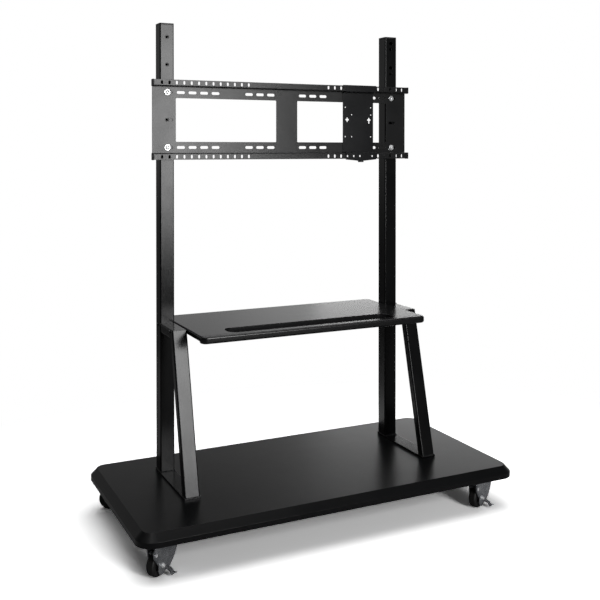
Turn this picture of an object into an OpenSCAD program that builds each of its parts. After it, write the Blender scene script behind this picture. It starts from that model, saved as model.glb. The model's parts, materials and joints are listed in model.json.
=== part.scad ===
// Wheeled display trolley: a steel deck on four swivel casters carries two side frames, a shelf
// and a slotted screen bracket with a clip-on device plate. Millimetres, Z up, front toward -Y,
// the floor at Z = 0 under the middle of the deck.

/* [View] */
// Which piece is drawn

/* [Deck] */
// Width of the deck over its skirt
deck_w = 1226; // [1130:2:1300]
// Depth of the deck over its skirt
deck_d = 603; // [560:1:680]
// Height of the deck top above the floor
deck_top = 135; // [131:1:155]
// Height of the deck from its top to the lower edge of its skirt
deck_h = 35; // [30:1:40]
// Sheet thickness of the deck
deck_sheet = 2; // [1.5:0.5:3]
// Plan width of the sloping edge
bevel_w = 19; // [10:1:28]
// Drop of the sloping edge
bevel_h = 20; // [10:1:24]
// Corner radius of the flat top
deck_corner = 30; // [20:1:50]

/* [Side frames] */
// Distance between the middles of the two posts
frame_spacing = 810; // [700:2:860]
// Outside width of the post tube
post_w = 46; // [40:1:50]
// Outside corner radius of the tubes
tube_corner = 4; // [3:0.5:6]
// Wall thickness of the tubes
tube_wall = 2.5; // [2:0.5:3]
// Distance of the post fronts behind the deck middle
post_front = 121.6; // [100:0.2:140]
// Height of the post tops above the floor
post_top = 1533; // [1523:1:1695]
// Thickness of the post caps
cap_t = 5; // [3:1:8]
// Thickness of the flat leg and arm tube
leg_t = 26; // [22:1:32]
// Forward lean of the legs in degrees
leg_lean = 14; // [10:0.5:18]
// Distance of the knee in front of or behind the deck middle
knee_y = 0.7; // [-20:0.1:30]
// Thickness of the plates under the side frames
foot_t = 5; // [3:1:8]
// Width of the plates under the side frames
foot_w = 48; // [47:1:60]

/* [Shelf] */
// Height of the shelf top above the floor
shelf_top = 603.5; // [500:0.5:695]
// Thickness of the shelf board
shelf_t = 17; // [15:1:20]
// Front edge of the shelf in front of the deck middle
shelf_front = 134; // [110:1:180]
// Back edge of the shelf behind the deck middle
shelf_back = 237.5; // [200:0.5:280]
// Plan corner radius of the shelf
shelf_corner = 18; // [10:1:30]
// Height of the thicker front bar of the shelf
nose_h = 22; // [18:1:30]
// Depth of the thicker front bar of the shelf
nose_d = 26; // [20:1:30]
// Length of the long slot behind the front bar
tray_slot_w = 570; // [400:5:620]
// Depth of the long slot behind the front bar
tray_slot_d = 73; // [50:1:80]

/* [Screen bracket] */
// Width of the bracket plate
bracket_w = 914; // [906:2:980]
// Height of the bracket from lip edge to lip edge
bracket_h = 247.4; // [240:0.2:270]
// Thickness of the bracket sheet
bracket_sheet = 2; // [1.5:0.5:2.5]
// How far the bracket stands to the right of the post middles
bracket_shift = 3.6; // [-8:0.2:8]
// How far the lips stand in front of the bracket plate
lip_depth = 21.7; // [18:0.1:24]
// Height of each lip
lip_h = 20; // [18:0.5:24]
// Distance between two fixing holes in the posts
hole_pitch = 85.6; // [84:0.2:88]
// Which post hole the lower bracket bolts use, counted from the lowest
bracket_step = 0; // [0:1:2]
// Half the width of the middle web
web_half = 38; // [30:1:46]
// Width of each window
window_w = 343; // [300:1:343]
// Height of each window
window_h = 136.2; // [110:0.2:140]
// Pitch of the wall slots
wall_pitch = 38.34; // [36:0.01:38.34]
// Pitch of the lip slots
lip_pitch = 24; // [23:0.1:24]

/* [Device plate] */
// How far the plate's middle sits to the right of the bracket's middle
device_x = 268.4; // [-330:0.1:330]
// Width of the device plate
device_w = 118.4; // [116:0.2:150]
// Sheet thickness of the device plate
device_sheet = 2; // [1.5:0.5:2]
// Side of the larger square of screen holes
vesa_large = 100; // [98:1:102]
// Side of the smaller square of screen holes
vesa_small = 75; // [73:1:77]

/* [Casters] */
// Distance of the swivel axes inside the deck's side edges
caster_side_inset = 84; // [80:1:130]
// Distance of the front swivel axes inside the deck's front edge
caster_front_inset = 76.5; // [55:0.5:110]
// Distance of the rear swivel axes inside the deck's back edge
caster_back_inset = 51.5; // [51.5:0.5:110]
// Wheel diameter
wheel_d = 65; // [62:1:68]
// Tread width
wheel_w = 24; // [20:1:28]
// Distance of the axle behind the swivel axis
trail = 26; // [24:1:30]
// Turn of the front left caster in degrees
turn_fl = 36; // [-180:1:180]
// Turn of the front right caster in degrees
turn_fr = 26; // [-180:1:180]
// Turn of the rear left caster in degrees
turn_rl = -30; // [-180:1:180]
// Turn of the rear right caster in degrees
turn_rr = -60; // [-180:1:180]

/* [Hidden] */
$fn = 48;
nip = 0.01;
fit = 0.05;
big = 4000;
deck_bottom = deck_top - deck_h;
edge_reach = deck_corner + bevel_w;
bevel_a = atan(bevel_h / bevel_w);
deck_run_x = deck_w - 2 * edge_reach;
deck_run_y = deck_d - 2 * edge_reach;
caster_x = deck_w / 2 - caster_side_inset;
caster_front = deck_d / 2 - caster_front_inset;
caster_back = deck_d / 2 - caster_back_inset;
beam_h = deck_h - deck_sheet;
beam_w = 96;
beam_len = deck_d - 2 * bevel_w - 8;
beam_wall = 2.5;
rail_w = 46;
rail_len = 420;
rail_y = 20;
frame_x = frame_spacing / 2;
post_y = post_front + post_w / 2;
post_base = deck_top + foot_t;
arm_top = shelf_top - 2;
leg_foot_y = knee_y - (arm_top - deck_top) * tan(leg_lean);
foot_lap = 1;
foot_front = leg_foot_y - foot_lap;
foot_back = post_front + post_w + foot_lap;
foot_len = foot_back - foot_front;
foot_mid = (foot_front + foot_back) / 2;
foot_bolt_in = 46;
foot_bolt_post = post_w / 2 + 20;
foot_bolt_mid = 48;
foot_bolt_ys = [foot_front + foot_bolt_in, foot_mid - foot_bolt_mid,
    foot_mid + foot_bolt_mid, foot_back - foot_bolt_post];
foot_bolt_r = 5;
foot_thread_h = 4;
post_hole_r = 6.2;
top_margin = 42.7;
last_level = 4;
level_zero = post_top - top_margin - last_level * hole_pitch;
levels = [0 : 1 : last_level];
upper_levels = [3, 4];
extra_rise = 20.7;
bracket_z = level_zero + (bracket_step + 1) * hole_pitch;
bolt_r = 4;
bolt_head_r = 7;
bolt_head_h = 4.5;
socket_r = 2.6;
socket_h = 2.6;
washer_r = 9;
washer_t = 1.4;
nut_r = 6.5;
nut_h = 7;
shelf_half = frame_x - post_w / 2 - fit;
shelf_run = shelf_front + shelf_back;
shelf_mid = (shelf_back - shelf_front) / 2;
tray_slot_front = 107.5;
tray_slot_y = tray_slot_d / 2 - tray_slot_front;
tray_slot_r = 28;
nose_r = 6;
screw_z = shelf_top - shelf_t / 2;
shelf_screw_ys = [27, 150];
screw_r = 3;
screw_head_r = 5.2;
screw_head_h = 2.6;
screw_bite = 24;
bend_in = 1;
plate_face = post_front - fit - bracket_sheet;
lip_face = plate_face - lip_depth;
half_h = bracket_h / 2;
window_r = 3;
wall_first = 57.6;
wall_row = 85.6;
wall_slots = [0, 1, 2, 5, 6, 7, 8];
slot_len = 27;
slot_h = 9;
bolt_slot_x = 404;
lip_slot_w = 7;
lip_slot_h = 11.5;
lip_slot_in = 9.2;
lip_slots = [6 : 1 : 18];
rail_cap_t = 2;
rail_cap_r = 3;
plug_len = 12;
plug_gap = 0.4;
device_panel = plate_face - fit;
device_front = lip_face - fit - device_sheet;
hook_return = 8;
hook_left = 9;
device_hole_r = 2.25;
hole_rise = 1.5;
keyhole_x = 42.7;
keyhole_z = 7.7;
keyhole_r = 4.6;
keyhole_slot = 5;
keyhole_up = 8;
keyhole_down = 8;
keyhole_drop = 5;
keyhole_across = 14;
skirt_edge = 2.4;
skirt_dip = 4.5;
tab_half = 10;
tab_reach = 12;
lock_r = 1.5;
lock_y = lip_face + lock_r + 2 * fit;
lock_head_r = 9.5;
lock_head_h = 4.5;
lock_grip_n = 18;
lock_grip_r = 0.6;
flange_hole_r = 3.3;
flange_holes = [9, 10, 11, 13];
wheel_r = wheel_d / 2;
caster_plate_x = 92;
caster_plate_y = 68;
caster_plate_t = 3;
caster_plate_r = 6;
caster_bolt_x = 74;
caster_bolt_y = 42;
caster_bolt_r = 4;
race_r = 27;
race_h = 7;
king_r = 6;
king_head_r = 9;
king_head_h = 3;
crown_drop = 18;
crown_z = deck_bottom - crown_drop;
crown_t = 3;
leg_plate = 2.5;
fork_gap = 3;
leg_in = wheel_w / 2 + fork_gap;
fork_front = 46;
fork_back = 60;
crown_back = 46;
fork_brow = 19;
fork_toe_x = 12;
fork_toe_z = 17;
fork_belly = 4;
fork_steps = 6;
boss_r = 13;
axle_r = 4.5;
axle_head_r = 7;
axle_head_h = 5;
hub_r = 21.5;
bore_in = 0.05;
tread_round = 5;
hub_lip_r = 13;
brake_pin_back = 26;
brake_pin_up = 35;
brake_pin_x = trail + brake_pin_back;
brake_pin_z = wheel_r + brake_pin_up;
brake_pin_r = 2.5;
brake_pin_head_r = 4.5;
brake_pin_head = 1.5;
brake_plate = 2;
shoe_gap = 1.8;
shoe_len = 8;
shoe_t = 4;
shoe_back = 14;
shoe_room = 5;
brake_travel = 6;
shoe_w = wheel_w;
shoe_rise = sqrt(pow(wheel_r + shoe_gap + shoe_t / 2, 2) - pow(shoe_back, 2));
cheek_r = 15.5;
cheek_low = 10;
cheek_heel = 9;
cheek_y = leg_in + leg_plate + fit;
pedal_x = 11;
pedal_w = 15;
pedal_z = 21.5;
pedal_run = 16;
pedal_fall = 7;
lip_run = 7;
lip_fall = 9;
spur_run = 13;
spur_w = 6;
pedal_t = 2;

deck_pan();
caster_beam(-1);  // caster_beam_left
caster_beam(1);  // caster_beam_right
frame_rail(-1);  // frame_rail_left
frame_rail(1);  // frame_rail_right
foot_plate(-1);  // foot_plate_left
foot_plate(1);  // foot_plate_right
foot_bolts(-1);  // foot_bolts_left
foot_bolts(1);  // foot_bolts_right
post(-1);  // post_left
post(1);  // post_right
post_nuts(-1);  // post_nuts_left
post_nuts(1);  // post_nuts_right
post_cap(-1);  // post_cap_left
post_cap(1);  // post_cap_right
leg(-1);  // leg_left
leg(1);  // leg_right
arm(-1);  // arm_left
arm(1);  // arm_right
shelf();
shelf_screws(-1);  // shelf_screws_left
shelf_screws(1);  // shelf_screws_right
bracket_plate();
rail_cap(-1, 1);  // rail_cap_top_left
rail_cap(1, 1);  // rail_cap_top_right
rail_cap(-1, -1);  // rail_cap_low_left
rail_cap(1, -1);  // rail_cap_low_right
bracket_bolts();
bracket_washers();
device_plate();
device_screw();
caster_bolts();
caster_nuts();
at_caster(-1, -1, 0) caster_plate();  // caster_plate_fl
at_caster(1, -1, 0) caster_plate();  // caster_plate_fr
at_caster(-1, 1, 0) caster_plate();  // caster_plate_rl
at_caster(1, 1, 0) caster_plate();  // caster_plate_rr
at_caster(-1, -1, turn_fl) caster_fork(true);  // caster_fork_fl
at_caster(1, -1, turn_fr) caster_fork(true);  // caster_fork_fr
at_caster(-1, 1, turn_rl) caster_fork(false);  // caster_fork_rl
at_caster(1, 1, turn_rr) caster_fork(false);  // caster_fork_rr
at_caster(-1, -1, turn_fl) caster_tyre();  // caster_tyre_fl
at_caster(1, -1, turn_fr) caster_tyre();  // caster_tyre_fr
at_caster(-1, 1, turn_rl) caster_tyre();  // caster_tyre_rl
at_caster(1, 1, turn_rr) caster_tyre();  // caster_tyre_rr
at_caster(-1, -1, turn_fl) caster_hub();  // caster_hub_fl
at_caster(1, -1, turn_fr) caster_hub();  // caster_hub_fr
at_caster(-1, 1, turn_rl) caster_hub();  // caster_hub_rl
at_caster(1, 1, turn_rr) caster_hub();  // caster_hub_rr
at_caster(-1, -1, turn_fl) caster_axle();  // caster_axle_fl
at_caster(1, -1, turn_fr) caster_axle();  // caster_axle_fr
at_caster(-1, 1, turn_rl) caster_axle();  // caster_axle_rl
at_caster(1, 1, turn_rr) caster_axle();  // caster_axle_rr
at_caster(-1, -1, turn_fl) brake();  // brake_fl
at_caster(1, -1, turn_fr) brake();  // brake_fr
at_caster(-1, -1, turn_fl) brake_pin();  // brake_pin_fl
at_caster(1, -1, turn_fr) brake_pin();  // brake_pin_fr

// Plain outlines

module rounded(w, d, r) {
    square([w - 2 * r, d], center = true);
    square([w, d - 2 * r], center = true);
    for (x = [-1, 1], y = [-1, 1]) translate([x * (w / 2 - r), y * (d / 2 - r)]) circle(r);
}

module oblong(len, wid) {
    square([len - wid, wid], center = true);
    for (x = [-1, 1]) translate([x * (len - wid) / 2, 0]) circle(wid / 2);
}

module tube_outline(w, d) {
    difference() {
        rounded(w, d, tube_corner);
        rounded(w - 2 * tube_wall, d - 2 * tube_wall, tube_corner - tube_wall + 1);
    }
}

// Quarter ring of sheet between two flat runs, sy and sz point to its outer side
module bend(y, z, sy, sz, t, inner = bend_in) {
    translate([y, z]) intersection() {
        difference() {
            circle(inner + t);
            circle(inner);
        }
        translate([sy > 0 ? 0 : -big, sz > 0 ? 0 : -big]) square(big);
    }
}

// Lays an outline drawn in Y and Z along X, centred
module along_x(len) {
    rotate([90, 0, 90]) translate([0, 0, -len / 2]) linear_extrude(len) children();
}

// Lays an outline drawn in X and Z along Y from y to y + len
module along_y(y, len) {
    translate([0, y + len, 0]) rotate([90, 0, 0]) linear_extrude(len) children();
}

// Deck and what is under it

module pan_edge() {
    inner_x = deck_corner - deck_sheet * tan(bevel_a / 2);
    inner_z = -bevel_h - deck_sheet * tan((90 - bevel_a) / 2);
    polygon([[0, 0], [deck_corner, 0], [edge_reach, -bevel_h], [edge_reach, -deck_h],
        [edge_reach - deck_sheet, -deck_h], [edge_reach - deck_sheet, inner_z],
        [inner_x, -deck_sheet], [0, -deck_sheet]]);
}

module deck_pan() {
    color("#1b1c1e") translate([0, 0, deck_top]) difference() {
        union() {
            translate([-deck_run_x / 2 - nip, -deck_run_y / 2 - nip, -deck_sheet])
                cube([deck_run_x + 2 * nip, deck_run_y + 2 * nip, deck_sheet]);
            for (s = [-1, 1]) {
                turned_side(s) translate([deck_run_x / 2, deck_run_y / 2, 0])
                    rotate([90, 0, 0]) linear_extrude(deck_run_y) pan_edge();
                rotate([0, 0, s * 90]) translate([deck_run_y / 2, deck_run_x / 2, 0])
                    rotate([90, 0, 0]) linear_extrude(deck_run_x) pan_edge();
            }
            for (a = [0, 1, 2, 3]) {
                sx = a == 0 || a == 3 ? 1 : -1;
                sy = a < 2 ? 1 : -1;
                translate([sx * deck_run_x / 2, sy * deck_run_y / 2, 0]) rotate([0, 0, 90 * a])
                    rotate_extrude(angle = 90) pan_edge();
            }
        }
        for (s = [-1, 1]) for (y = foot_bolt_ys) translate([s * frame_x, y, -deck_h])
            cylinder(r = foot_bolt_r + fit, h = 2 * deck_h);
    }
}

// Half a turn for the left side, none for the right
module turned_side(s) {
    rotate([0, 0, s > 0 ? 0 : 180]) children();
}

module caster_beam(s) {
    color("#2a2b2d") difference() {
        translate([s * caster_x, 0, deck_bottom + beam_h / 2]) rotate([90, 0, 0])
            linear_extrude(beam_len, center = true) difference() {
                square([beam_w, beam_h], center = true);
                square([beam_w - 2 * beam_wall, beam_h - 2 * beam_wall], center = true);
            }
        for (x = [-1, 1], y = [-1, 1], c = [-caster_front, caster_back])
            translate([s * caster_x + x * caster_bolt_x / 2, c + y * caster_bolt_y / 2,
                deck_bottom - beam_wall]) cylinder(r = caster_bolt_r + fit, h = 3 * beam_wall);
    }
}

module frame_rail(s) {
    color("#2a2b2d") difference() {
        translate([s * frame_x, rail_y, deck_bottom + beam_h / 2]) rotate([90, 0, 0])
            linear_extrude(rail_len, center = true) difference() {
                square([rail_w, beam_h], center = true);
                square([rail_w - 2 * beam_wall, beam_h - 2 * beam_wall], center = true);
            }
        for (y = foot_bolt_ys) translate([s * frame_x, y, deck_bottom - nip])
            cylinder(r = foot_bolt_r + fit, h = deck_h);
    }
}

// Side frames

module foot_plate(s) {
    color("#1b1c1e") difference() {
        translate([s * frame_x - foot_w / 2, foot_front, deck_top]) cube([foot_w, foot_len, foot_t]);
        for (y = foot_bolt_ys) translate([s * frame_x, y, deck_top - nip])
            cylinder(r = foot_bolt_r + fit, h = foot_thread_h + fit);
    }
}

module foot_bolts(s) {
    color("#9a9ea3") for (y = foot_bolt_ys) translate([s * frame_x, y, deck_bottom - bolt_head_h]) {
        cylinder(r = 2 * foot_bolt_r / cos(30) * 0.85, h = bolt_head_h, $fn = 6);
        cylinder(r = foot_bolt_r, h = bolt_head_h + deck_h + foot_thread_h);
    }
}

module post(s) {
    color("#1b1c1e") difference() {
        translate([s * frame_x, post_y, post_base])
            linear_extrude(post_top - cap_t - post_base) tube_outline(post_w, post_w);
        for (k = levels) front_hole(s, level_zero + k * hole_pitch);
        if (s > 0) for (k = upper_levels) front_hole(s, level_zero + k * hole_pitch + extra_rise);
        translate([s * (frame_x + post_w), shelf_screw_ys[1], screw_z]) rotate([0, -90 * s, 0])
            cylinder(r = screw_r + fit, h = 2 * post_w);
    }
}

module front_hole(s, z) {
    translate([s * frame_x, post_front + 2 * tube_wall, z]) rotate([90, 0, 0])
        cylinder(r = post_hole_r, h = 3 * tube_wall);
}

module post_nuts(s) {
    color("#8b8f94") for (k = levels) translate([s * frame_x, post_front + tube_wall + nut_h,
        level_zero + k * hole_pitch]) rotate([90, 0, 0]) difference() {
            cylinder(r = nut_r / cos(30), h = nut_h, $fn = 6);
            translate([0, 0, -nip]) cylinder(r = bolt_r + fit, h = nut_h + 2 * nip);
        }
}

module post_cap(s) {
    plug = post_w - 2 * tube_wall - plug_gap;
    color("#101112") translate([s * frame_x, post_y, post_top - cap_t]) {
        linear_extrude(cap_t) rounded(post_w, post_w, tube_corner);
        translate([0, 0, -plug_len]) linear_extrude(plug_len + nip) difference() {
            rounded(plug, plug, tube_wall);
            rounded(plug - 2 * tube_wall, plug - 2 * tube_wall, tube_wall / 2);
        }
    }
}

// Everything behind the plane where the leg and the arm meet
module behind_mitre() {
    translate([0, knee_y, arm_top]) rotate([45 - leg_lean / 2, 0, 0])
        translate([-big / 2, 0, -big / 2]) cube(big);
}

module leg(s) {
    run = arm_top - post_base;
    color("#1b1c1e") difference() {
        translate([s * frame_x, knee_y, arm_top]) rotate([-leg_lean, 0, 0])
            translate([0, leg_t / 2, -run * 1.2]) linear_extrude(run * 1.4) tube_outline(post_w, leg_t);
        behind_mitre();
        translate([-big / 2, -big / 2, post_base - big]) cube(big);
    }
}

module arm(s) {
    run = post_front - knee_y;
    color("#1b1c1e") difference() {
        intersection() {
            translate([s * frame_x, post_front, arm_top - leg_t / 2]) rotate([90, 0, 0])
                linear_extrude(2 * run) tube_outline(post_w, leg_t);
            behind_mitre();
        }
        translate([s * (frame_x + post_w), shelf_screw_ys[0], screw_z]) rotate([0, -90 * s, 0])
            cylinder(r = screw_r + fit, h = 2 * post_w);
    }
}

// Shelf

module shelf_plan() {
    translate([0, shelf_mid]) rounded(2 * shelf_half, shelf_run, shelf_corner);
}

module shelf() {
    color("#26272a") difference() {
        union() {
            translate([0, 0, shelf_top - shelf_t]) linear_extrude(shelf_t) difference() {
                shelf_plan();
                translate([-shelf_half - nip, -shelf_front - nip])
                    square([2 * (shelf_half + nip), nose_d / 2 + nip]);
            }
            intersection() {
                translate([0, 0, shelf_top - nose_h - nip]) linear_extrude(nose_h + 2 * nip) shelf_plan();
                along_x(2 * shelf_half) translate([nose_d / 2 - shelf_front, shelf_top - nose_h / 2])
                    rounded(nose_d, nose_h, nose_r);
            }
        }
        translate([0, tray_slot_y, shelf_top - 2 * nose_h]) linear_extrude(3 * nose_h)
            rounded(tray_slot_w, tray_slot_d, tray_slot_r);
        for (s = [-1, 1]) for (y = shelf_screw_ys) translate([s * (shelf_half + nip), y, screw_z])
            rotate([0, -90 * s, 0]) cylinder(r = screw_r + fit, h = screw_bite + fit);
    }
}

module shelf_screws(s) {
    outer = frame_x + post_w / 2;
    color("#2c2d2f") for (y = shelf_screw_ys) translate([s * outer, y, screw_z]) {
        rotate([0, -90 * s, 0]) cylinder(r = screw_r, h = post_w + screw_bite);
        rotate([0, 90 * s, 0]) difference() {
            cylinder(r1 = screw_head_r, r2 = screw_head_r - 1, h = screw_head_h);
            translate([0, 0, screw_head_h / 2]) cylinder(r = socket_r, h = screw_head_h, $fn = 6);
        }
    }
}

// Screen bracket

module rail_outline() {
    flange_z = half_h - lip_h;
    back = post_front - fit;
    run_r = bend_in + bracket_sheet;
    translate([plate_face, -nip]) square([bracket_sheet, flange_z + bracket_sheet - run_r + nip]);
    bend(back - run_r, flange_z + bracket_sheet - run_r, 1, 1, bracket_sheet);
    translate([lip_face + run_r, flange_z]) square([back - lip_face - 2 * run_r, bracket_sheet]);
    bend(lip_face + run_r, flange_z + run_r, -1, -1, bracket_sheet);
    translate([lip_face, flange_z + run_r]) square([bracket_sheet, lip_h - run_r]);
}

module bracket_plate() {
    color("#1a1b1d") translate([bracket_shift, 0, bracket_z]) difference() {
        along_x(bracket_w) {
            rail_outline();
            mirror([0, 1]) rail_outline();
        }
        along_y(plate_face - bracket_sheet, 3 * bracket_sheet) {
            for (s = [-1, 1]) {
                translate([s * (web_half + window_w / 2), 0]) rounded(window_w, window_h, window_r);
                for (r = [-1, 1]) for (k = wall_slots)
                    translate([s * (wall_first + k * wall_pitch), r * wall_row]) oblong(slot_len, slot_h);
                for (r = [-1, 0, 1]) translate([s * bolt_slot_x, r * hole_pitch]) oblong(slot_len, slot_h);
            }
        }
        along_y(lip_face - bracket_sheet, 3 * bracket_sheet)
            for (s = [-1, 1], r = [-1, 1]) for (k = lip_slots)
                translate([s * k * lip_pitch, r * (half_h - lip_slot_in)])
                    rotate([0, 0, 90]) oblong(lip_slot_h, lip_slot_w);
    }
}

module rail_cap(sx, sz) {
    deep = lip_depth + bracket_sheet;
    mid_y = lip_face + deep / 2;
    cap_h = lip_h + 2;
    outline_z = half_h - lip_h / 2;
    plug_d = lip_depth - 2 * bend_in - bracket_sheet;
    plug_z = half_h - (lip_h - bracket_sheet) / 2 + 0.4;
    color("#0e0f10") translate([bracket_shift + sx * bracket_w / 2, 0, bracket_z]) {
        translate([sx * rail_cap_t / 2, 0, 0]) along_x(rail_cap_t)
            translate([mid_y, sz * outline_z]) rounded(deep, cap_h, rail_cap_r);
        translate([-sx * plug_len / 2, 0, 0]) along_x(plug_len + nip)
            translate([lip_face + bracket_sheet + bend_in + plug_d / 2, sz * plug_z])
                rounded(plug_d, lip_h - bracket_sheet - 1.6, bend_in);
    }
}

module at_bracket_bolts() {
    for (s = [-1, 1], r = [-1, 1]) translate([s * frame_x, plate_face - fit, bracket_z + r * hole_pitch])
        rotate([90, 0, 0]) children();
}

module bracket_bolts() {
    depth = bracket_sheet + 2 * fit + tube_wall + nut_h + 4;
    color("#c9ccd0") at_bracket_bolts() {
        translate([0, 0, -depth]) cylinder(r = bolt_r, h = depth + washer_t + nip);
        translate([0, 0, washer_t]) difference() {
            intersection() {
                cylinder(r = bolt_head_r, h = bolt_head_h);
                translate([0, 0, bolt_head_h - 1.4 * bolt_head_r]) sphere(1.4 * bolt_head_r);
            }
            translate([0, 0, bolt_head_h - socket_h]) cylinder(r = socket_r, h = socket_h + nip, $fn = 6);
        }
    }
}

module bracket_washers() {
    color("#17181a") at_bracket_bolts() difference() {
        cylinder(r = washer_r, h = washer_t);
        translate([0, 0, -nip]) cylinder(r = bolt_r + fit, h = washer_t + 2 * nip);
    }
}

// Clip-on device plate

module device_outline(s) {
    t = device_sheet;
    run_r = bend_in + t;
    flange = half_h - lip_h - fit;
    translate([device_panel - t, -nip]) square([t, flange - run_r + nip]);
    bend(device_panel - run_r, flange - run_r, 1, 1, t);
    translate([device_front + run_r, flange - t]) square([device_panel - device_front - 2 * run_r, t]);
    bend(device_front + run_r, flange - t + run_r, -1, -1, t);
    if (s > 0) {
        translate([device_front, flange - t + run_r]) square([t, half_h - flange + t - run_r + nip]);
        bend(lip_face, half_h, -1, 1, t, fit);
        translate([lip_face - nip, half_h + fit]) square([bracket_sheet + 2 * nip, t]);
        bend(lip_face + bracket_sheet, half_h, 1, 1, t, fit);
        translate([lip_face + bracket_sheet + fit, half_h - hook_return]) square([t, hook_return + nip]);
    } else {
        translate([device_front, flange - t + run_r]) square([t, half_h + skirt_edge - flange + t - run_r]);
    }
}

// A round hole with four slots; the right one runs further down
module keyhole(drop) {
    tall = keyhole_up + keyhole_down + drop;
    circle(keyhole_r);
    oblong(keyhole_across, keyhole_slot);
    translate([0, keyhole_up - tall / 2]) rotate([0, 0, 90]) oblong(tall, keyhole_slot);
}

module device_plate() {
    low = half_h + skirt_edge;
    tab_z = -low - skirt_dip;
    color("#17191d") translate([bracket_shift + device_x, 0, bracket_z]) difference() {
        union() {
            along_x(device_w) device_outline(1);
            along_x(device_w) mirror([0, 1]) device_outline(-1);
            translate([-device_w / 2 - hook_left / 2, 0, 0]) intersection() {
                along_x(hook_left + nip) device_outline(1);
                translate([-big / 2, -big / 2, half_h - lip_h / 2]) cube(big);
            }
            along_y(device_front, device_sheet) polygon([[-device_w / 2, nip - low],
                [device_w / 2, nip - low], [device_w / 2, -low], [tab_half, tab_z],
                [-tab_half, tab_z], [-device_w / 2, -low]]);
            translate([-tab_half, device_front, tab_z])
                cube([2 * tab_half, tab_reach, device_sheet]);
        }
        translate([0, 0, hole_rise]) along_y(device_panel - 2 * device_sheet, 3 * device_sheet) {
            for (x = [-1, 1], z = [-1, 1]) translate([x, z] * vesa_large / 2) circle(device_hole_r);
            translate([vesa_large / 2 - vesa_small, vesa_small - vesa_large / 2]) circle(device_hole_r);
            translate([vesa_large / 2, vesa_small - vesa_large / 2]) circle(device_hole_r);
            translate([vesa_large / 2 - vesa_small, -vesa_large / 2]) circle(device_hole_r);
            for (s = [-1, 1]) translate([s * keyhole_x, keyhole_z]) keyhole(s > 0 ? keyhole_drop : 0);
        }
        along_y(device_front - device_sheet, 3 * device_sheet) for (k = flange_holes)
            translate([k * lip_pitch - device_x, lip_slot_in - half_h]) circle(flange_hole_r);
        translate([0, lock_y, tab_z - device_sheet])
            cylinder(r = lock_r + fit, h = 3 * device_sheet);
    }
}

module device_screw() {
    tab_z = -half_h - skirt_edge - skirt_dip;
    color("#0c0d0e") translate([bracket_shift + device_x, lock_y, bracket_z]) {
        translate([0, 0, tab_z - fit - nip]) cylinder(r = lock_r, h = nip - half_h - tab_z);
        translate([0, 0, tab_z - fit - lock_head_h]) difference() {
            cylinder(r = lock_head_r, h = lock_head_h);
            for (k = [1 : lock_grip_n]) rotate([0, 0, k * 360 / lock_grip_n])
                translate([lock_head_r + lock_grip_r / 3, 0, -nip])
                    cylinder(r = lock_grip_r, h = 2 * lock_head_h, $fn = 12);
        }
    }
}

// Casters, drawn with the swivel axis on Z and the wheel behind it toward -X

module at_caster(sx, sy, turn) {
    translate([sx * caster_x, sy > 0 ? caster_back : -caster_front, 0]) rotate([0, 0, turn]) children();
}

module at_caster_bolts() {
    for (sx = [-1, 1], sy = [-1, 1], x = [-1, 1], y = [-1, 1])
        at_caster(sx, sy, 0) translate([x * caster_bolt_x / 2, y * caster_bolt_y / 2, 0]) children();
}

module caster_bolts() {
    low = deck_bottom - caster_plate_t;
    color("#b9bcc0") at_caster_bolts() translate([0, 0, low - bolt_head_h]) {
        cylinder(r = nut_r / cos(30), h = bolt_head_h, $fn = 6);
        cylinder(r = caster_bolt_r, h = bolt_head_h + caster_plate_t + beam_wall + nut_h + 3);
    }
}

module caster_nuts() {
    color("#b9bcc0") at_caster_bolts() translate([0, 0, deck_bottom + beam_wall]) difference() {
        cylinder(r = nut_r / cos(30), h = nut_h, $fn = 6);
        translate([0, 0, -nip]) cylinder(r = caster_bolt_r + fit, h = nut_h + 2 * nip);
    }
}

module caster_plate() {
    low = deck_bottom - caster_plate_t;
    color("#b4b8bc") difference() {
        union() {
            translate([0, 0, low]) linear_extrude(caster_plate_t)
                rounded(caster_plate_x, caster_plate_y, caster_plate_r);
            translate([0, 0, low - race_h / 2]) cylinder(r1 = race_r - 4, r2 = race_r, h = race_h / 2 + nip);
            translate([0, 0, crown_z - king_head_h]) cylinder(r = king_r, h = low - crown_z + king_head_h);
            translate([0, 0, crown_z - king_head_h]) cylinder(r = king_head_r, h = king_head_h - fit);
        }
        for (x = [-1, 1], y = [-1, 1]) translate([x * caster_bolt_x / 2, y * caster_bolt_y / 2, low - nip])
            cylinder(r = caster_bolt_r + fit, h = caster_plate_t + 2 * nip);
    }
}

// Side plate of the fork; its front edge is bowed between the brow and the toe
module fork_side(held) {
    brow = [fork_front - 1, crown_z - fork_brow];
    toe = [fork_toe_x, fork_toe_z];
    outward = [brow[1] - toe[1], toe[0] - brow[0]] / norm(brow - toe);
    bow = [for (k = [1 : fork_steps - 1]) brow + (toe - brow) * k / fork_steps
        + outward * 4 * fork_belly * k * (fork_steps - k) / pow(fork_steps, 2)];
    wide_back = [[2 - fork_back, brake_pin_z - 9], [-fork_back, brake_pin_z + 6],
        [8 - fork_back, crown_z + crown_t]];
    plain_back = [[-crown_back, crown_z - fork_brow / 2], [-crown_back, crown_z + crown_t]];
    back = held ? wide_back : plain_back;
    difference() {
        union() {
            polygon(concat([[fork_front, crown_z + crown_t], brow], bow, [toe,
                [boss_r * 0.4 - trail, wheel_r - boss_r * 0.9], [-boss_r - trail, wheel_r + 2]], back));
            translate([-trail, wheel_r]) circle(boss_r);
        }
        translate([-trail, wheel_r]) circle(axle_r + fit);
        if (held) translate([-brake_pin_x, brake_pin_z]) circle(brake_pin_r + fit);
        if (held) translate([-shoe_back - trail, wheel_r + shoe_rise])
            square(shoe_len + shoe_room, center = true);
    }
}

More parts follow.
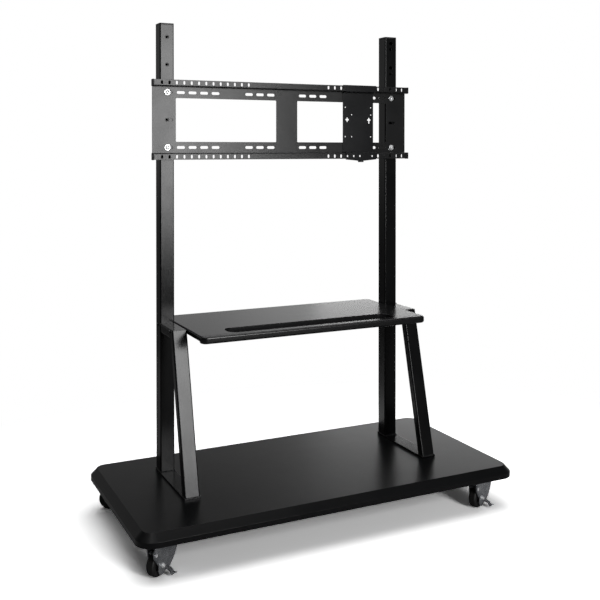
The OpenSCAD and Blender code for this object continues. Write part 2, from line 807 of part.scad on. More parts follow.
module caster_fork(braked) {
    top = deck_bottom - caster_plate_t - race_h / 2 - fit;
    color("#b4b8bc") difference() {
        union() {
            for (s = [-1, 1]) along_y(s * (leg_in + leg_plate / 2) - leg_plate / 2, leg_plate)
                fork_side(braked && s < 0);
            translate([-crown_back, -leg_in - nip, crown_z])
                cube([crown_back + fork_front, 2 * (leg_in + nip), crown_t]);
            translate([0, 0, crown_z]) cylinder(r = race_r, h = top - crown_z);
        }
        translate([0, 0, crown_z - nip]) cylinder(r = king_r + fit, h = top);
    }
}

module caster_tyre() {
    color("#141414") translate([-trail, 0, wheel_r]) rotate([90, 0, 0]) rotate_extrude() difference() {
        translate([(wheel_r + hub_r) / 2, 0]) union() {
            rounded(wheel_r - hub_r, wheel_w, tread_round);
            translate([-(wheel_r - hub_r) / 4, 0]) square([(wheel_r - hub_r) / 2, wheel_w], center = true);
        }
    }
}

module caster_hub() {
    color("#1c1c1d") translate([-trail, 0, wheel_r]) rotate([90, 0, 0]) rotate_extrude() union() {
        translate([hub_r - 3.5, -wheel_w / 2 + 1]) square([3.5 - fit, wheel_w - 2]);
        translate([axle_r + bore_in, -wheel_w / 4]) square([hub_r - axle_r - 2, wheel_w / 2]);
        translate([axle_r + bore_in, fit - leg_in])
            square([hub_lip_r - axle_r - bore_in, 2 * (leg_in - fit)]);
    }
}

module caster_axle() {
    reach = leg_in + leg_plate;
    color("#c9ccd0") translate([-trail, 0, wheel_r]) rotate([90, 0, 0]) {
        translate([0, 0, -reach - axle_head_h]) cylinder(r = axle_head_r, h = axle_head_h, $fn = 6);
        translate([0, 0, -reach - nip]) cylinder(r = axle_r, h = 2 * reach + axle_head_h + 4);
        translate([0, 0, reach]) cylinder(r = axle_head_r, h = axle_head_h, $fn = 6);
    }
}

// Side brake: a shoe over the tread, a cheek outside the near fork side and a bent foot tab

module brake_cheek() {
    swing = norm([brake_pin_x - trail, brake_pin_z - wheel_r]) * brake_travel * PI / 180;
    hole_r = axle_head_r + 1;
    difference() {
        union() {
            translate([-brake_pin_x, brake_pin_z]) circle(cheek_heel);
            translate([-trail, wheel_r - cheek_low]) circle(cheek_r);
            polygon([[-brake_pin_x - cheek_heel * 0.9, brake_pin_z - 4],
                [-brake_pin_x, brake_pin_z + cheek_heel],
                [-shoe_back - trail + 5, wheel_r + shoe_rise + 5],
                [-shoe_back - trail + 8, wheel_r + shoe_rise - 3],
                [cheek_r * 0.7 - trail, wheel_r + cheek_r * 0.5],
                [pedal_x + pedal_w - trail, pedal_z + pedal_t + 2],
                [pedal_x + pedal_w - trail, pedal_z - pedal_t], [-trail, wheel_r - cheek_low - cheek_r],
                [-cheek_r - trail, wheel_r - cheek_low], [-cheek_r * 0.9 - trail, wheel_r + 8]]);
        }
        translate([-brake_pin_x, brake_pin_z]) circle(brake_pin_r + fit);
        translate([-trail, wheel_r]) rotate([0, 0, atan2(brake_pin_x - trail, brake_pin_z - wheel_r)])
            translate([swing / 2, 0]) oblong(2 * hole_r + swing, 2 * hole_r);
    }
}

// The foot tab seen from the front: it leaves the cheek outward, slopes down and ends in a steeper lip
module pedal_side() {
    bend_y = -cheek_y - pedal_run;
    end_y = bend_y - lip_run;
    polygon([[-cheek_y, pedal_z], [bend_y, pedal_z - pedal_fall], [end_y, pedal_z - pedal_fall - lip_fall],
        [end_y - pedal_t, pedal_z - pedal_fall - lip_fall],
        [bend_y - pedal_t * 0.6, pedal_z - pedal_fall + pedal_t],
        [-cheek_y - brake_plate, pedal_z + pedal_t + 1], [-cheek_y, pedal_z + pedal_t + 1]]);
}

module brake() {
    pedal_mid = pedal_x + pedal_w / 2 - trail;
    color("#b4b8bc") {
        along_y(-cheek_y - brake_plate, brake_plate) brake_cheek();
        translate([-shoe_back - trail, 0, wheel_r + shoe_rise])
            rotate([0, -atan2(shoe_back, shoe_rise) - brake_travel, 0])
                translate([-shoe_len / 2, -cheek_y - nip, -shoe_t / 2])
                    cube([shoe_len, cheek_y + nip + shoe_w / 2, shoe_t]);
        translate([pedal_mid, 0, 0]) along_x(pedal_w) pedal_side();
        translate([pedal_mid + pedal_w / 2 - spur_w, -cheek_y - pedal_run - lip_run / 2 - spur_run,
            pedal_z - pedal_fall - lip_fall / 2])
            cube([spur_w, spur_run + pedal_t / 2, pedal_t / 2]);
    }
}

module brake_pin() {
    reach = cheek_y + brake_plate + fit;
    color("#c9ccd0") translate([-brake_pin_x, 0, brake_pin_z]) rotate([90, 0, 0]) {
        translate([0, 0, leg_in - fit - brake_pin_head]) cylinder(r = brake_pin_head_r, h = brake_pin_head);
        translate([0, 0, leg_in - fit - nip]) cylinder(r = brake_pin_r, h = reach - leg_in + fit + 2 * nip);
        translate([0, 0, reach]) cylinder(r = brake_pin_head_r, h = brake_pin_head);
    }
}
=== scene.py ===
"""Looks of the display trolley: powder-coated frame, satin shelf, zinc casters, on a pale studio floor."""
import json
import math

import bpy
import bmesh
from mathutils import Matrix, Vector

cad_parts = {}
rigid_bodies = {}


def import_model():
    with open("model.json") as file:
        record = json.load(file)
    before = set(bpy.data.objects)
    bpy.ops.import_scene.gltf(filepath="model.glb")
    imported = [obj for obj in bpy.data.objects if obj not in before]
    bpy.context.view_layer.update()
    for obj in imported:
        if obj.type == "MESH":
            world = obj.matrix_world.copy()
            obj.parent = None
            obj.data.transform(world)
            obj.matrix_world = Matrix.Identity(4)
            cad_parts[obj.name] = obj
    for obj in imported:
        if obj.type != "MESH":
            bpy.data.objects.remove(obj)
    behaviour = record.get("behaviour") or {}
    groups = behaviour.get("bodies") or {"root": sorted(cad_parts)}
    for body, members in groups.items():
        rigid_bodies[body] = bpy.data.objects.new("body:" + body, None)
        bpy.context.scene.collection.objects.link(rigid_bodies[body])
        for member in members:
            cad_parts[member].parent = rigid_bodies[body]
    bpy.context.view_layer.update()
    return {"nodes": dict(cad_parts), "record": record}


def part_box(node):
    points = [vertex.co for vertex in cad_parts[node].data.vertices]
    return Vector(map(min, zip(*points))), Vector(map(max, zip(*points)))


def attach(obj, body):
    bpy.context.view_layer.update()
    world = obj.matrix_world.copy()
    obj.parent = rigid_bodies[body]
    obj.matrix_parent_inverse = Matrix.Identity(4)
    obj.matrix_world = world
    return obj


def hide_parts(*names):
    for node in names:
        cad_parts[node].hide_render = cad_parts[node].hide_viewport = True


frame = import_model()
nodes = frame["nodes"]

CORNERS = ("fl", "fr", "rl", "rr")
BRAKED_CORNERS = ("fl", "fr")
SIDES = ("left", "right")
RAIL_ENDS = ("top_left", "top_right", "low_left", "low_right")


# Shader nodes

# The part of its range that noise really fills
NOISE_LOW = 0.3
NOISE_HIGH = 0.7

# Specular level of a clear plastic gloss, of the black coats and of the bracket's coat
CLEAR_SHEEN = 0.5
COAT_SHEEN = 0.25
BRACKET_SHEEN = 0.35

BEVEL_SAMPLES = 6


def put(tree, value, socket):
    """Gives a socket a value, or links another socket to it."""
    if isinstance(value, bpy.types.NodeSocket):
        tree.links.new(value, socket)
    else:
        socket.default_value = value


def add(tree, kind, settings=None, **inputs):
    """Adds a node; inputs are socket names with underscores, given a value or another socket."""
    node = tree.nodes.new(kind)
    for key, value in (settings or {}).items():
        setattr(node, key, value)
    for key, value in inputs.items():
        socket = next(i for i in node.inputs if i.enabled and i.name.replace(" ", "_") == key)
        put(tree, value, socket)
    return node


def calc(tree, operation, first, second):
    """One math node over two numbers or sockets."""
    node = add(tree, "ShaderNodeMath", {"operation": operation})
    put(tree, first, node.inputs[0])
    put(tree, second, node.inputs[1])
    return node.outputs[0]


def mixed(tree, share, first, second):
    """Mixes two shaders by the share of the second."""
    node = add(tree, "ShaderNodeMixShader", Fac=share)
    tree.links.new(first, node.inputs[1])
    tree.links.new(second, node.inputs[2])
    return node.outputs["Shader"]


def fade(tree, value, start, end, low=0.0, high=1.0):
    """Smooth step of a value from one level to another."""
    node = add(tree, "ShaderNodeMapRange", {"interpolation_type": "SMOOTHSTEP"}, Value=value,
               From_Min=start, From_Max=end, To_Min=low, To_Max=high)
    return node.outputs["Result"]


def ramp(tree, value, stops):
    """Colour ramp over a value; stops are (place, colour) pairs."""
    node = add(tree, "ShaderNodeValToRGB", Fac=value)
    elements = node.color_ramp.elements
    while len(elements) < len(stops):
        elements.new(0.5)
    for element, (at, colour) in zip(elements, stops):
        element.position = at
        element.color = (*colour, 1.0)
    return node.outputs["Color"]


def new_material(name):
    """An empty material: itself, its tree and its output's surface socket."""
    mat = bpy.data.materials.new(name)
    mat.use_nodes = True
    mat.node_tree.nodes.clear()
    out = add(mat.node_tree, "ShaderNodeOutputMaterial")
    return mat, mat.node_tree, out.inputs["Surface"]


def shader(name, roughness, metallic=0.0, specular=CLEAR_SHEEN):
    """A bare principled material and its tree, ready for its own colour and bump."""
    mat, tree, surface = new_material(name)
    bsdf = add(tree, "ShaderNodeBsdfPrincipled", Roughness=roughness, Metallic=metallic,
               Specular_IOR_Level=specular)
    tree.links.new(bsdf.outputs["BSDF"], surface)
    return mat, tree, bsdf, add(tree, "ShaderNodeTexCoord")


def speckle(tree, place, scale, detail=2.0, stretch=None):
    """Noise in object space; stretch scales the axes apart for brushed or drawn marks."""
    source = place.outputs["Object"]
    if stretch:
        source = add(tree, "ShaderNodeMapping", Vector=source, Scale=stretch).outputs["Vector"]
    return add(tree, "ShaderNodeTexNoise", Vector=source, Scale=scale, Detail=detail).outputs["Fac"]


def colour_by(tree, bsdf, value, ends, dark, light):
    """Base colour that runs from dark to light over a stretch of a value."""
    tree.links.new(ramp(tree, value, list(zip(ends, (dark, light)))), bsdf.inputs["Base Color"])


def roughness_by(tree, bsdf, value, low, high):
    """Roughness that follows noise between two values."""
    node = add(tree, "ShaderNodeMapRange", Value=value, From_Min=NOISE_LOW, From_Max=NOISE_HIGH,
               To_Min=low, To_Max=high)
    tree.links.new(node.outputs["Result"], bsdf.inputs["Roughness"])


def worn_edge(tree, radius):
    """Shading normal that rounds hard edges, so that folded and cut edges catch the light."""
    return add(tree, "ShaderNodeBevel", {"samples": BEVEL_SAMPLES}, Radius=radius).outputs["Normal"]


def grain(tree, bsdf, height, strength, distance, under=None):
    """Surface grain as a bump, laid over an earlier normal when one is given."""
    bump = add(tree, "ShaderNodeBump", Strength=strength, Distance=distance, Height=height)
    if under is not None:
        tree.links.new(under, bump.inputs["Normal"])
    tree.links.new(bump.outputs["Normal"], bsdf.inputs["Normal"])
    return bump.outputs["Normal"]


# Finishes

# Noise scales are per metre, lifts and edge radii in metres. Tones are the stretch of the noise that runs
# from the dark colour to the light one.
COAT_DRIFT = 3.5
COAT_HAZE = 11.0
COAT_PEBBLE = 900.0
COAT_TONES = (0.3, 0.7)
PEBBLE_LIFT = 0.00012
PEBBLE_STRENGTH = 0.30
# Orange peel is wider and taller than the pebble, by these factors
PEEL_SCALE = 0.22
PEEL_LIFT = 4
PEEL_STRENGTH = 0.10
COAT_EDGE = 0.0008

ZINC_CLOUD = 45.0
ZINC_SCRATCH = 260.0
SCRATCH_STRENGTH = 0.02
SCRATCH_LIFT = 0.00002
ZINC_EDGE = 0.0004

MOULD_TONE = 25.0
MOULD_GLOSS = 90.0
SPARK_STRENGTH = 0.25
SPARK_LIFT = 0.0001
EVEN_TONES = (0.35, 0.65)

TYRE_DUST = 160.0
TYRE_GRAIN = 700.0
TYRE_BLACK = (0.004, 0.004, 0.0042)
TYRE_DUSTY = (0.012, 0.0118, 0.0115)
TYRE_TONES = (0.35, 0.75)
TYRE_ROUGH = (0.45, 0.7)
TYRE_STRENGTH = 0.3


def powder_coat(name, dark, light, roughness, pebble=COAT_PEBBLE, specular=COAT_SHEEN):
    """Cured powder coat: orange-peel pebble, slow tone drift, handling haze in the gloss."""
    mat, tree, bsdf, place = shader(name, sum(roughness) / 2, specular=specular)
    colour_by(tree, bsdf, speckle(tree, place, COAT_DRIFT, detail=3.0), COAT_TONES, dark, light)
    roughness_by(tree, bsdf, speckle(tree, place, COAT_HAZE, detail=4.0), *roughness)
    peel = grain(tree, bsdf, speckle(tree, place, pebble * PEEL_SCALE, detail=1.0), PEEL_STRENGTH,
                 PEBBLE_LIFT * PEEL_LIFT, worn_edge(tree, COAT_EDGE))
    grain(tree, bsdf, speckle(tree, place, pebble), PEBBLE_STRENGTH, PEBBLE_LIFT, peel)
    return mat


def zinc(name, dark, light, roughness, drawn, metallic):
    """Zinc plate over pressed steel: soft cloudy tone with fine drawn lines and rounded edges."""
    mat, tree, bsdf, place = shader(name, sum(roughness) / 2, metallic=metallic)
    colour_by(tree, bsdf, speckle(tree, place, ZINC_CLOUD, detail=3.0), EVEN_TONES, dark, light)
    scratch = speckle(tree, place, ZINC_SCRATCH, stretch=drawn)
    roughness_by(tree, bsdf, scratch, *roughness)
    grain(tree, bsdf, scratch, SCRATCH_STRENGTH, SCRATCH_LIFT, worn_edge(tree, ZINC_EDGE))
    return mat


def moulded(name, dark, light, roughness, pebble, strength=SPARK_STRENGTH, specular=CLEAR_SHEEN):
    """Moulded plastic or a satin board: even colour with a fine grain."""
    mat, tree, bsdf, place = shader(name, sum(roughness) / 2, specular=specular)
    colour_by(tree, bsdf, speckle(tree, place, MOULD_TONE, detail=3.0), EVEN_TONES, dark, light)
    roughness_by(tree, bsdf, speckle(tree, place, MOULD_GLOSS, detail=3.0), *roughness)
    grain(tree, bsdf, speckle(tree, place, pebble), strength, SPARK_LIFT)
    return mat


def tread(name):
    """Worn black tyre with a little dust and small scuffs."""
    mat, tree, bsdf, place = shader(name, sum(TYRE_ROUGH) / 2)
    dust = speckle(tree, place, TYRE_DUST, detail=5.0)
    colour_by(tree, bsdf, dust, TYRE_TONES, TYRE_BLACK, TYRE_DUSTY)
    roughness_by(tree, bsdf, dust, *TYRE_ROUGH)
    grain(tree, bsdf, speckle(tree, place, TYRE_GRAIN), TYRE_STRENGTH, SPARK_LIFT)
    return mat


# Marks drawn down, and along, a zinc piece
DRAWN_DOWN = (1.0, 1.0, 4.0)
DRAWN_ALONG = (3.0, 1.0, 1.0)

COAT = powder_coat(
    "frame_powder_coat", (0.0018, 0.0019, 0.0021), (0.0028, 0.0029, 0.0032), (0.20, 0.25))
DECK_COAT = powder_coat(
    "deck_powder_coat", (0.0018, 0.0019, 0.0022), (0.0028, 0.0029, 0.0033), (0.28, 0.32), pebble=760.0)
UNDER_COAT = powder_coat(
    "under_frame_paint", (0.006, 0.0062, 0.0066), (0.010, 0.0102, 0.0108), (0.5, 0.6), pebble=600.0,
    specular=CLEAR_SHEEN)
BRACKET_COAT = powder_coat(
    "bracket_powder_coat", (0.0024, 0.0025, 0.0028), (0.004, 0.0041, 0.0045), (0.27, 0.32), pebble=1100.0,
    specular=BRACKET_SHEEN)
DEVICE_COAT = powder_coat(
    "device_plate_coat", (0.0022, 0.0025, 0.0034), (0.0034, 0.0037, 0.0048), (0.28, 0.32), pebble=1300.0)
SHELF_SATIN = moulded(
    "shelf_satin", (0.0025, 0.0026, 0.0029), (0.004, 0.0041, 0.0045), (0.262, 0.268), pebble=900.0,
    strength=0.004, specular=0.42)
CAP_PLASTIC = moulded(
    "cap_plastic", (0.004, 0.004, 0.0043), (0.007, 0.007, 0.0073), (0.36, 0.44), pebble=1500.0,
    strength=0.1, specular=0.3)
SCREW_PLASTIC = moulded(
    "lock_screw_plastic", (0.005, 0.005, 0.0052), (0.009, 0.009, 0.0092), (0.36, 0.44), pebble=1800.0,
    strength=0.1, specular=0.4)
HUB_NYLON = moulded(
    "hub_nylon", (0.008, 0.008, 0.0085), (0.014, 0.014, 0.0145), (0.38, 0.5), pebble=900.0)
TREAD = tread("tyre_tread")
ZINC_PLATE = zinc(
    "zinc_plate", (0.30, 0.31, 0.33), (0.46, 0.47, 0.49), (0.18, 0.28), DRAWN_DOWN, metallic=0.75)
BRIGHT_ZINC = zinc(
    "bright_zinc", (0.80, 0.81, 0.82), (0.92, 0.93, 0.94), (0.18, 0.26), DRAWN_ALONG, metallic=0.45)
DARK_STEEL = zinc(
    "black_zinc", (0.03, 0.031, 0.033), (0.05, 0.051, 0.054), (0.3, 0.4), DRAWN_ALONG, metallic=0.9)

FINISH = {
    "black_powder_coat": COAT,
    "under_frame_coat": UNDER_COAT,
    "bracket_coat": BRACKET_COAT,
    "device_coat": DEVICE_COAT,
    "shelf_board": SHELF_SATIN,
    "black_plastic": CAP_PLASTIC,
    "knurled_plastic": SCREW_PLASTIC,
    "dark_steel": DARK_STEEL,
    "bright_zinc": BRIGHT_ZINC,
    "zinc_plate": ZINC_PLATE,
    "tyre_rubber": TREAD,
    "wheel_nylon": HUB_NYLON,
}


def finish_node(name, mat):
    """Puts one finish on every slot of a carried-over node."""
    for slot in nodes[name].material_slots:
        slot.material = mat


for entry in frame["record"]["subparts"]:
    finish_node(entry["node"], FINISH[entry["material_slot"]])
finish_node("deck_pan", DECK_COAT)


# Pieces over the construction model

# Mesh points closer than this are one point, in metres
SAME_POINT = 2e-6
# Faces that meet at less than this are one flat face
FLAT_ANGLE = math.radians(0.5)
# Edges with a larger angle than this are rounded
ROUND_ANGLE = math.radians(50)
# Edges with a larger angle than this are shaded as creases
CREASE_ANGLE = math.radians(34)


def body_holding(node):
    """Name of the moving body that a node belongs to."""
    for name, held in frame["record"]["behaviour"]["bodies"].items():
        if node in held:
            return name
    raise ValueError(node)


def slot_of(node):
    """Material slot that the record gives a node."""
    return next(e["material_slot"] for e in frame["record"]["subparts"] if e["node"] == node)


def place_piece(name, mesh, mat, like, replaced=()):
    """Links a finished mesh as a piece that moves with a node and takes its slot."""
    piece = bpy.data.objects.new(name, mesh)
    bpy.context.scene.collection.objects.link(piece)
    mesh.materials.clear()
    mesh.materials.append(mat)
    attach(piece, body_holding(like))
    if replaced:
        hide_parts(*replaced)


def frozen(maker):
    """Mesh of an object as its modifiers leave it; the object itself is removed."""
    bpy.context.view_layer.update()
    graph = bpy.context.evaluated_depsgraph_get()
    mesh = bpy.data.meshes.new_from_object(maker.evaluated_get(graph), depsgraph=graph)
    bpy.data.objects.remove(maker)
    return mesh


def finished(name, bm):
    """Mesh that shades large faces flat and the narrow rounded ones between them smoothly."""
    for face in bm.faces:
        face.smooth = True
    mesh = bpy.data.meshes.new(name + "_rough")
    bm.to_mesh(mesh)
    bm.free()
    mesh.set_sharp_from_angle(angle=CREASE_ANGLE)
    rough = bpy.data.objects.new(name + "_rough", mesh)
    bpy.context.scene.collection.objects.link(rough)
    weighted = rough.modifiers.new("flat_faces", "WEIGHTED_NORMAL")
    weighted.keep_sharp = True
    smooth = frozen(rough)
    smooth.name = name
    return smooth


def bevelled(bm, edges, radius, steps, clamped=False):
    """Rounds edges of an edited mesh; clamped keeps the rounding of near edges apart."""
    bmesh.ops.bevel(bm, geom=edges, offset=radius, segments=steps, profile=0.5, affect="EDGES",
                    clamp_overlap=clamped)


def softened(node, radius, steps=2):
    """Rounds the sharp edges of a node and puts the rounded copy in its place."""
    bm = bmesh.new()
    bm.from_mesh(nodes[node].data)
    bmesh.ops.remove_doubles(bm, verts=bm.verts, dist=SAME_POINT)
    bmesh.ops.dissolve_limit(bm, angle_limit=FLAT_ANGLE, verts=bm.verts, edges=bm.edges)
    sharp = [e for e in bm.edges if len(e.link_faces) == 2 and e.calc_face_angle() > ROUND_ANGLE]
    bevelled(bm, sharp, radius, steps, clamped=True)
    place_piece(node + "_rounded", finished(node + "_soft", bm), FINISH[slot_of(node)], node, (node,))


# Geometry node trees


class Tree:
    """A geometry node tree with named inputs."""

    def __init__(self, name, **inputs):
        self.group = bpy.data.node_groups.new(name, "GeometryNodeTree")
        face = self.group.interface
        face.new_socket(name="Geometry", in_out="INPUT", socket_type="NodeSocketGeometry")
        self.ids = {}
        for label, kind in inputs.items():
            item = face.new_socket(name=label, in_out="INPUT", socket_type="NodeSocket" + kind)
            self.ids[label] = item.identifier
        face.new_socket(name="Geometry", in_out="OUTPUT", socket_type="NodeSocketGeometry")
        self.start = self.group.nodes.new("NodeGroupInput")
        self.end = self.group.nodes.new("NodeGroupOutput")

    def node(self, kind, settings=None, **inputs):
        """Adds a geometry node by the last part of its type's name."""
        return add(self.group, "GeometryNode" + kind, settings, **inputs)

    def given(self, label):
        """The tree's own input of that name."""
        return self.start.outputs[label]

    def finish(self, geometry):
        """Realises and colours the result."""
        real = self.node("RealizeInstances", Geometry=geometry)
        coated = self.node("SetMaterial", Geometry=real.outputs["Geometry"],
                           Material=self.given("Material"))
        self.group.links.new(coated.outputs["Geometry"], self.end.inputs["Geometry"])

    def finish_on_axle(self, instances):
        """Turns copies from the Z axis onto a wheel's axle, sets them at its centre and finishes them."""
        real = self.node("RealizeInstances", Geometry=instances)
        upright = self.node("Transform", Geometry=real.outputs["Geometry"], Rotation=(math.pi / 2, 0, 0))
        set_in = self.node("Transform", Geometry=upright.outputs["Geometry"],
                           Translation=self.given("Centre"), Rotation=self.given("Turn"))
        self.finish(set_in.outputs["Geometry"])

    def grow(self, name, lines=(), **values):
        """Runs the tree with these inputs on a guide of lines and gives back a plain mesh."""
        maker = bpy.data.objects.new(name, guide_mesh(name + "_guide", lines))
        bpy.context.scene.collection.objects.link(maker)
        modifier = maker.modifiers.new(name, "NODES")
        modifier.node_group = self.group
        for label, value in values.items():
            modifier[self.ids[label]] = value
        return frozen(maker)


def guide_mesh(name, lines):
    """Edge-only mesh through lists of points."""
    mesh = bpy.data.meshes.new(name)
    points, edges = [], []
    for line in lines:
        first = len(points)
        points += line
        edges += [(first + i, first + i + 1) for i in range(len(line) - 1)]
    mesh.from_pydata(points, edges, [])
    return mesh


# Weld beads, in metres

BEAD_STEP = 0.0017
BEAD_RADIUS = 0.0021
# Least and most size of a ripple, as a share of the bead
BEAD_LEAST = 0.8
BEAD_MOST = 1.12
BEAD_SEED = 7
BEAD_SEGMENTS = 8
BEAD_RINGS = 5
# How near a tube's points lie to its cut end, and an arm's side to the post that it meets
END_REACH = 0.0006
ARM_REACH = 0.001


def bead_tree():
    """Overlapping ripples of a weld along the edges of a guide mesh."""
    t = Tree("weld_bead", Spacing="Float", Radius="Float", Seed="Int", Material="Material")
    curve = t.node("MeshToCurve", Mesh=t.given("Geometry"))
    steps = t.node("ResampleCurve", {"mode": "LENGTH"}, Curve=curve.outputs["Curve"],
                   Length=t.given("Spacing"))
    ball = t.node("MeshUVSphere", Segments=BEAD_SEGMENTS, Rings=BEAD_RINGS, Radius=t.given("Radius"))
    size = add(t.group, "FunctionNodeRandomValue", {"data_type": "FLOAT"}, Min=BEAD_LEAST, Max=BEAD_MOST,
               Seed=t.given("Seed"))
    beads = t.node("InstanceOnPoints", Points=steps.outputs["Curve"], Instance=ball.outputs["Mesh"],
                   Scale=size.outputs["Value"])
    smooth = t.node("SetShadeSmooth", Geometry=beads.outputs["Instances"])
    t.finish(smooth.outputs["Geometry"])
    return t


def base_loop(node, height):
    """Loop round a tube's cut end that stands at a height."""
    ring = [v.co for v in nodes[node].data.vertices if abs(v.co.z - height) < END_REACH]
    x0, x1 = min(c.x for c in ring), max(c.x for c in ring)
    y0, y1 = min(c.y for c in ring), max(c.y for c in ring)
    return [(x0, y0, height), (x1, y0, height), (x1, y1, height), (x0, y1, height), (x0, y0, height)]


def weld_beads():
    """Fillet welds where posts and legs stand on their plates and where arms meet the posts."""
    tree = bead_tree()
    for side in SIDES:
        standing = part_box("foot_plate_" + side)[1].z
        lines = [base_loop("post_" + side, standing), base_loop("leg_" + side, standing)]
        low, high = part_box("arm_" + side)
        for y in (end.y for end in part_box("post_" + side)):
            if low.y - ARM_REACH < y < high.y + ARM_REACH:
                lines.append([(low.x, y, high.z), (low.x, y, low.z), (high.x, y, low.z),
                              (high.x, y, high.z)])
        mesh = tree.grow("beads_" + side, lines, Spacing=BEAD_STEP, Radius=BEAD_RADIUS, Seed=BEAD_SEED,
                         Material=COAT)
        place_piece("weld_beads_" + side, mesh, COAT, "post_" + side)


# Caster details, in metres

RIBS = 9
RIB_INNER = 0.0062
RIB_OUTER = 0.0185
RIB_THICKNESS = 0.0018
RIB_DEPTH = 0.018
THREADS = 3
THREAD_PITCH = 0.00125
THREAD_RADIUS = 0.0044
THREAD_CREST = THREAD_PITCH * 0.42
# Sides of a ring seen along the axle, and of the crest's own section
RING_SIDES = 28
CREST_SIDES = 6
# Distance of the first crest from the wheel's middle
THREAD_START = 0.0228


def rib_tree():
    """Straight ribs set round a wheel's centre, like spokes."""
    t = Tree("wheel_ribs", Count="Int", Inner="Float", Outer="Float", Thickness="Float", Depth="Float",
             Centre="Vector", Turn="Vector", Material="Material")
    middle = calc(t.group, "MULTIPLY", calc(t.group, "ADD", t.given("Inner"), t.given("Outer")), 0.5)
    span = calc(t.group, "SUBTRACT", t.given("Outer"), t.given("Inner"))
    step = calc(t.group, "DIVIDE", 2 * math.pi, t.given("Count"))
    angle = calc(t.group, "MULTIPLY", t.node("InputIndex").outputs[0], step)
    ring = t.node("MeshCircle", Vertices=t.given("Count"), Radius=middle)
    size = add(t.group, "ShaderNodeCombineXYZ", X=span, Y=t.given("Thickness"), Z=t.given("Depth"))
    rib = t.node("MeshCube", Size=size.outputs[0])
    spin = add(t.group, "ShaderNodeCombineXYZ", Z=angle)
    ribs = t.node("InstanceOnPoints", Points=ring.outputs["Mesh"], Instance=rib.outputs["Mesh"],
                  Rotation=spin.outputs[0])
    t.finish_on_axle(ribs.outputs["Instances"])
    return t


def thread_tree():
    """Crests of a screw thread: rings stepped along a line."""
    t = Tree("screw_thread", Count="Int", Pitch="Vector", Radius="Float", Crest="Float", Centre="Vector",
             Turn="Vector", Material="Material")
    line = t.node("MeshLine", Count=t.given("Count"), Offset=t.given("Pitch"))
    loop = t.node("CurvePrimitiveCircle", Resolution=RING_SIDES, Radius=t.given("Radius"))
    cut = t.node("CurvePrimitiveCircle", Resolution=CREST_SIDES, Radius=t.given("Crest"))
    ring = t.node("CurveToMesh", Curve=loop.outputs["Curve"], Profile_Curve=cut.outputs["Curve"])
    smooth = t.node("SetShadeSmooth", Geometry=ring.outputs["Mesh"])
    rings = t.node("InstanceOnPoints", Points=line.outputs["Mesh"], Instance=smooth.outputs["Geometry"])
    t.finish_on_axle(rings.outputs["Instances"])
    return t


def caster_details():
    """Ribs in the wheel centres and threads on the axle ends."""
    ribs, threads = rib_tree(), thread_tree()
    axes = {j["name"]: Vector(j["axis"]) for j in frame["record"]["behaviour"]["joints"]}
    for corner in CORNERS:
        low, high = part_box("caster_tyre_" + corner)
        centre = (low + high) / 2
        axis = axes[f"wheel_{corner}_roll"]
        turn = (0.0, 0.0, math.atan2(-axis.x, axis.y))
        mesh = ribs.grow("ribs_" + corner, Count=RIBS, Inner=RIB_INNER, Outer=RIB_OUTER,
                         Thickness=RIB_THICKNESS, Depth=RIB_DEPTH, Centre=centre, Turn=turn,
                         Material=HUB_NYLON)
        place_piece("hub_ribs_" + corner, mesh, HUB_NYLON, "caster_hub_" + corner)
        mesh = threads.grow("thread_" + corner, Count=THREADS, Pitch=(0.0, 0.0, THREAD_PITCH),
                            Radius=THREAD_RADIUS, Crest=THREAD_CREST, Centre=centre - axis * THREAD_START,
                            Turn=turn, Material=BRIGHT_ZINC)
        place_piece("axle_thread_" + corner, mesh, BRIGHT_ZINC, "caster_axle_" + corner)


# Shelf, in metres

SHELF_THICK = 0.017
SHELF_CORNER = 0.018
SHELF_ROUND = 0.005
NOSE_DEPTH = 0.026
NOSE_ROUND = 0.0065
NOSE_STEPS = 7
SLOT_HALF = 0.285
SLOT_DEPTH = 0.073
SLOT_GAP = 0.0005
SLOT_ROUND = 0.028
SLOT_RIM = 0.001
# Corners of the bar and the board where they meet, and how far the board's top lies below the bar's
JOIN_CORNER = 0.004
JOIN_STEP = 0.00006
CORNER_STEPS = 8
RIM_STEPS = 5
# A rim is a level edge with a larger angle than this, in radians, and a smaller height step
RIM_ANGLE = 1.0
RIM_LEVEL = 1e-6
# Decimal places that tell the points of an outline apart
PLACES = 5


def outline(x0, x1, y0, y1, radii):
    """Plan of a rectangle with a radius for each corner, from front left round to back left."""
    corners = [(x0, y0, 1, 1, 180), (x1, y0, -1, 1, 270), (x1, y1, -1, -1, 0), (x0, y1, 1, -1, 90)]
    points = []
    for (x, y, sx, sy, start), radius in zip(corners, radii):
        for k in range(CORNER_STEPS + 1):
            a = math.radians(start + 90 * k / CORNER_STEPS)
            points.append((x + sx * radius + radius * math.cos(a), y + sy * radius + radius * math.sin(a)))
    return points


def slab_of(loops, low, high):
    """Edited slab between two heights; loops after the first are openings."""
    bm = bmesh.new()
    rims = []
    for loop in loops:
        ring = [bm.verts.new((x, y, high)) for x, y in loop]
        rims += [bm.edges.new((a, b)) for a, b in zip(ring, ring[1:] + ring[:1])]
    bmesh.ops.triangle_fill(bm, edges=rims, use_beauty=True, use_dissolve=False)
    for face in bm.faces:
        if face.normal.z < 0:
            face.normal_flip()
    extruded = bmesh.ops.extrude_face_region(bm, geom=list(bm.faces), use_keep_orig=True)
    for item in extruded["geom"]:
        if isinstance(item, bmesh.types.BMVert):
            item.co.z = low
    bmesh.ops.recalc_face_normals(bm, faces=bm.faces)
    if sum(f.calc_area() * f.normal.z * f.calc_center_median().z for f in bm.faces) < 0:
        bmesh.ops.reverse_faces(bm, faces=bm.faces)
    bmesh.ops.dissolve_limit(bm, angle_limit=FLAT_ANGLE, verts=bm.verts, edges=bm.edges)
    return bm


